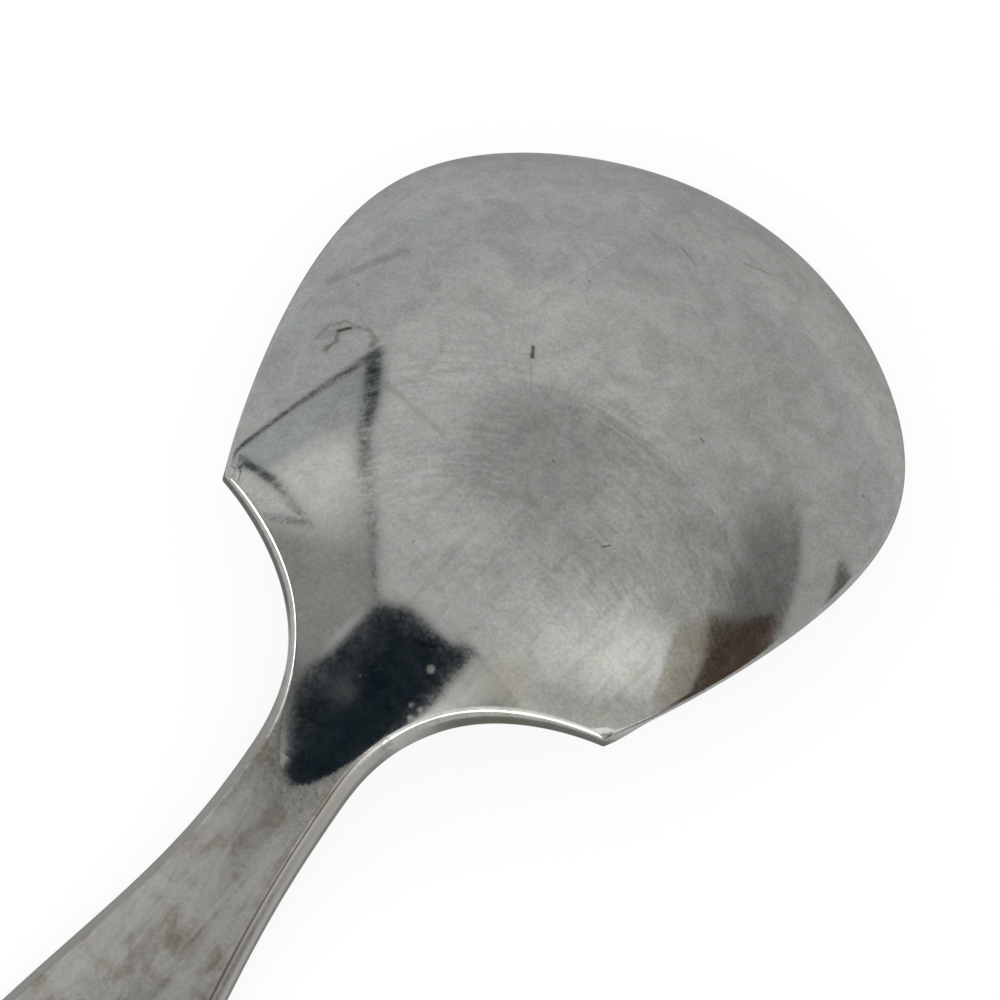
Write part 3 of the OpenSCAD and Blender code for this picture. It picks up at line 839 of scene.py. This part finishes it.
def add_bar(name, path, widths, material, far=CARD_FAR):
    """Strip along a path of directions, as wide as given in degrees at its two ends."""
    ways = [aim(*c) for c in path]
    points = []
    for i, way in enumerate(ways):
        along = ways[min(i + 1, len(ways) - 1)] - ways[max(i - 1, 0)]
        share = i / (len(ways) - 1)
        width = math.radians(widths[0] + (widths[1] - widths[0]) * share)
        aside = way.cross(along).normalized() * width / 2
        points += [AROUND + far * (way - aside), AROUND + far * (way + aside)]
    faces = [[2 * i, 2 * i + 1, 2 * i + 3, 2 * i + 2] for i in range(len(ways) - 1)]
    only_in_reflections(stage_object(name, points, faces, material))


def add_surroundings():
    """Distant cards for what the photograph shows mirrored in the bowl."""
    cloth = glow_material("dark_cloth", (0.006, 0.016, 0.026), (0.030, 0.050, 0.064))
    add_card("dark_sleeve", SLEEVE, cloth)
    panel = panel_material("grey_panel", (1.20, 1.21, 1.17), (0.52, 0.53, 0.51))
    add_card("left_panel", LEFT_PANEL, panel, PANEL_FAR)
    add_card("stand_back", STAND_BACK, glow_material("stand_shadow", (0.76, 0.79, 0.78)), PANEL_FAR)
    dark = glow_material("dark_frame", (0.045, 0.065, 0.075), (0.16, 0.18, 0.19))
    add_bar("frame_top", FRAME_TOP, (1.6, 2.6), dark)
    add_bar("frame_side", FRAME_SIDE, (3.0, 2.2), dark)
    add_bar("frame_edge", FRAME_EDGE, (1.6, 0.9), glow_material("frame_shadow", (0.24, 0.25, 0.25)))
    add_card("box_front", BOX_FRONT, glow_material("brown_box", (0.125, 0.085, 0.066), (0.24, 0.17, 0.13)))
    add_card("box_side", BOX_SIDE, glow_material("box_card", (0.68, 0.63, 0.55), (0.76, 0.73, 0.66)))
    add_card("dark_corner", DARK_CORNER, glow_material("corner_shadow", (0.22, 0.23, 0.22)))


# Room light above and at the horizon, how white the floor looks, the window's glow and its top level, and
# the strengths of the shade, of the light behind and of the dark place overhead
ROOM, HORIZON, FLOOR_WHITE = 0.89, 0.90, 0.85
GLOW, GLOW_TOP, SHADE, BEHIND, OVERHEAD = 3.14, 0.78, 0.52, 0.22, 0.34


def add_floor():
    """Pale floor that takes the spoon's shadow and looks near white to the camera and in the metal."""
    material, g = new_material("pale_floor")
    matt = g.node("ShaderNodeBsdfDiffuse")
    matt.inputs["Color"].default_value = (0.9, 0.9, 0.9, 1.0)
    white = g.node("ShaderNodeEmission")
    path = g.node("ShaderNodeLightPath")
    seen = g.math("MAXIMUM", path.outputs["Is Camera Ray"], path.outputs["Is Glossy Ray"])
    seen = g.math("MAXIMUM", seen, path.outputs["Is Transmission Ray"])
    both = g.node("ShaderNodeMixShader")
    g.feed(both.inputs[0], g.math("MULTIPLY", seen, FLOOR_WHITE))
    g.feed(both.inputs[1], matt.outputs[0])
    g.feed(both.inputs[2], white.outputs[0])
    out = g.node("ShaderNodeOutputMaterial")
    g.feed(out.inputs["Surface"], both.outputs[0])
    size, level = 3.0, -0.00002
    corners = [(-size, -size, level), (size, -size, level), (size, size, level), (-size, size, level)]
    stage_object("floor", corners, [[0, 1, 2, 3]], material)


def add_world():
    """Pale room: a window's glow on the right, a shade with one crisp edge, light behind, dark overhead."""
    world = bpy.data.worlds.new("room")
    bpy.context.scene.world = world
    world.use_nodes = True
    g = Graph(world.node_tree)
    way = g.node("ShaderNodeTexCoord").outputs["Generated"]
    parts = g.node("ShaderNodeSeparateXYZ")
    g.feed(parts.inputs[0], way)

    def lobe(turn, lift, outer, inner):
        near = g.vector("DOT_PRODUCT", way, tuple(aim(turn, lift)))
        return g.ramp(near, math.cos(math.radians(outer)), math.cos(math.radians(inner)))

    glow_side = g.vector("DOT_PRODUCT", way, tuple(aim(18.6, 0)))
    glow = g.math("MINIMUM", g.math("MULTIPLY", lobe(51.4, 30.6, 52, 0), GLOW), GLOW_TOP)
    glow = g.math("MULTIPLY", glow, g.ramp(glow_side, -0.02, 0.024))
    glow = g.math("MULTIPLY", glow, g.ramp(parts.outputs[2], 0.38, 0.56))
    over_edge = g.vector("DOT_PRODUCT", way, tuple(aim(-16.6, 60.5)))
    shade = g.math("MULTIPLY", g.ramp(over_edge, -0.012, 0.012), g.ramp(over_edge, 0.326, 0.162))
    shade = g.math("MULTIPLY", shade, lobe(112, 24, 33, 0))
    level = g.ramp(parts.outputs[2], 0.0, 0.45, HORIZON, ROOM)
    level = g.math("ADD", glow, level)
    level = g.math("MULTIPLY_ADD", shade, -SHADE, level)
    level = g.math("MULTIPLY_ADD", lobe(-139, 55, 46, 2), BEHIND, level)
    level = g.math("MULTIPLY_ADD", lobe(-149.5, 71.6, 23, 2), -OVERHEAD, level)
    light = g.node("ShaderNodeBackground")
    warmth = g.ramp(parts.outputs[2], 0.0, 0.5)
    g.feed(light.inputs["Color"], g.blend(warmth, (0.965, 1.0, 1.02), (1.0, 1.0, 0.99)))
    g.feed(light.inputs["Strength"], level)
    out = g.node("ShaderNodeOutputWorld")
    g.feed(out.inputs["Surface"], light.outputs[0])


def add_lamp(name, turn, lift, far, size, power):
    """Soft lamp in a direction from the bowl, facing it."""
    data = bpy.data.lights.new(name, "AREA")
    data.shape = "RECTANGLE"
    data.size, data.size_y = size
    data.energy = power
    lamp = bpy.data.objects.new(name, data)
    way = aim(turn, lift)
    lamp.location = AROUND + way * far
    lamp.rotation_euler = way.to_track_quat("Z", "Y").to_euler()
    lamp.visible_camera = False
    bpy.context.scene.collection.objects.link(lamp)


add_camera()
bowl_shape, handle_shape = spoon_points()
bowl = add_piece("spoon_bowl", *bowl_shape, False, steel("worn_polished_steel"))
handle = add_piece("spoon_handle", *handle_shape, True, steel("worn_satin_steel"))
for piece, node, slot in ((bowl, "bowl", "polished_steel"), (handle, "handle", "satin_steel")):
    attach(piece, "root")
    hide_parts(node)

add_floor()
add_world()
add_lamp("left_window", -42, 20, 0.9, (0.5, 0.45), 2.5)
add_lamp("right_window", 32, 17, 0.9, (0.6, 0.4), 2.5)
add_surroundings()

bpy.context.scene.view_settings.view_transform = "Standard"
